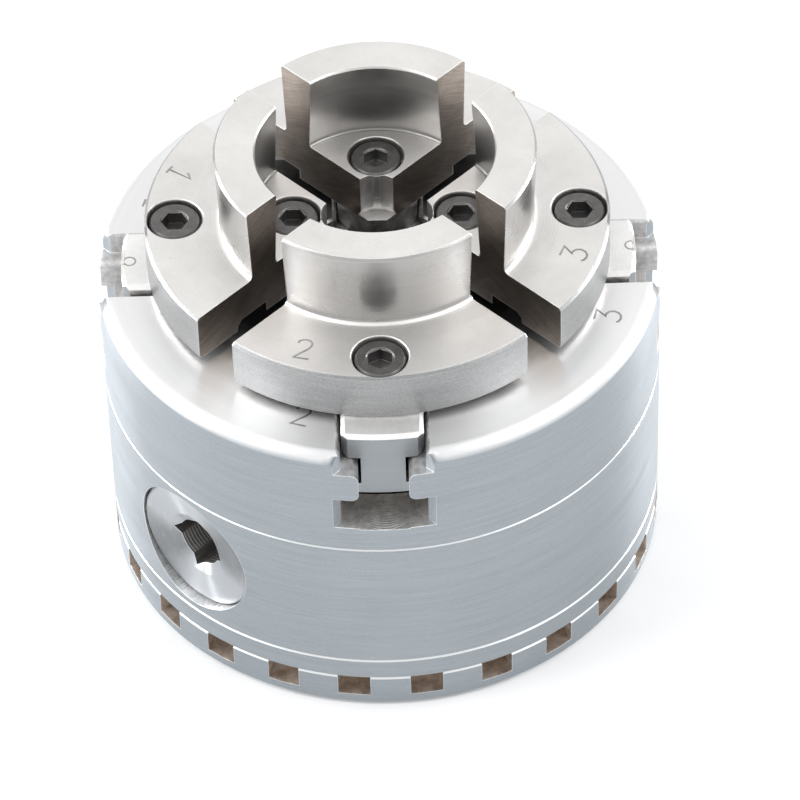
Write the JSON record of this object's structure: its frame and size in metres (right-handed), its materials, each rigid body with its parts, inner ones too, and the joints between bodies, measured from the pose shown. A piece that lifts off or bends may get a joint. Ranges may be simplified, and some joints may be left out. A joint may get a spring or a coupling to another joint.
{
  "type": "wood lathe chuck",
  "caption": "Self-centring scroll chuck with jaws in T-slots, a key-driven bevel pinion, an index ring at the back and a threaded spindle insert.",
  "frame": {"origin": "centre of the index ring's back face, on the chuck's axis", "axes": "+Z along the chuck's axis from the spindle to the jaws; jaw 3 at +X, jaw 4 at +Y, jaw 1 at -X, jaw 2 at -Y"},
  "size_m": [0.096, 0.096, 0.0855],
  "materials": {
    "body_steel": "turned and satin polished bare steel",
    "jaw_steel": "bead-blasted and turned bare steel, milled cut faces",
    "pinion_steel": "turned bright steel",
    "inner_steel": "machined, oiled dark steel",
    "black_oxide": "black oxide"
  },
  "bodies": {
    "chuck_body": {"front_body": "body_steel", "rear_housing": "body_steel", "back_plate": "body_steel", "index_ring": "body_steel", "spindle_insert": "inner_steel", "insert_screws": "black_oxide", "body_screws": "black_oxide", "back_screws": "black_oxide", "pinion_screw": "black_oxide"},
    "scroll": {"scroll_ring": "inner_steel"},
    "key_pinion": {"pinion": "pinion_steel"},
    "jaw_1": {"jaw_slide_1": "jaw_steel", "top_jaw_1": "jaw_steel", "jaw_screws_1": "black_oxide"},
    "jaw_2": {"jaw_slide_2": "jaw_steel", "top_jaw_2": "jaw_steel", "jaw_screws_2": "black_oxide"},
    "jaw_3": {"jaw_slide_3": "jaw_steel", "top_jaw_3": "jaw_steel", "jaw_screws_3": "black_oxide"},
    "jaw_4": {"jaw_slide_4": "jaw_steel", "top_jaw_4": "jaw_steel", "jaw_screws_4": "black_oxide"}
  },
  "joints": [
    {"name": "scroll_turn", "type": "hinge", "parent": "chuck_body", "child": "scroll", "pos_m": [0, 0, 0.04], "axis": [0, 0, -1], "range_deg": [-360, 576]},
    {"name": "pinion_turn", "type": "hinge", "parent": "chuck_body", "child": "key_pinion", "pos_m": [-0.02369, -0.02369, 0.0248], "axis": [-0.7071, -0.7071, 0], "range_deg": [-1260, 2016]},
    {"name": "jaw_1_travel", "type": "slide", "parent": "chuck_body", "child": "jaw_1", "axis": [-1, 0, 0], "range_m": [-0.005, 0.008]},
    {"name": "jaw_2_travel", "type": "slide", "parent": "chuck_body", "child": "jaw_2", "axis": [0, -1, 0], "range_m": [-0.005, 0.008]},
    {"name": "jaw_3_travel", "type": "slide", "parent": "chuck_body", "child": "jaw_3", "axis": [1, 0, 0], "range_m": [-0.005, 0.008]},
    {"name": "jaw_4_travel", "type": "slide", "parent": "chuck_body", "child": "jaw_4", "axis": [0, 1, 0], "range_m": [-0.005, 0.008]}
  ],
  "couplings": [
    {"joint": "pinion_turn", "follows": "scroll_turn", "ratio": 3.5},
    {"joint": "jaw_1_travel", "follows": "scroll_turn", "m_per_rad": 0.00079577},
    {"joint": "jaw_2_travel", "follows": "scroll_turn", "m_per_rad": 0.00079577},
    {"joint": "jaw_3_travel", "follows": "scroll_turn", "m_per_rad": 0.00079577},
    {"joint": "jaw_4_travel", "follows": "scroll_turn", "m_per_rad": 0.00079577}
  ]
}
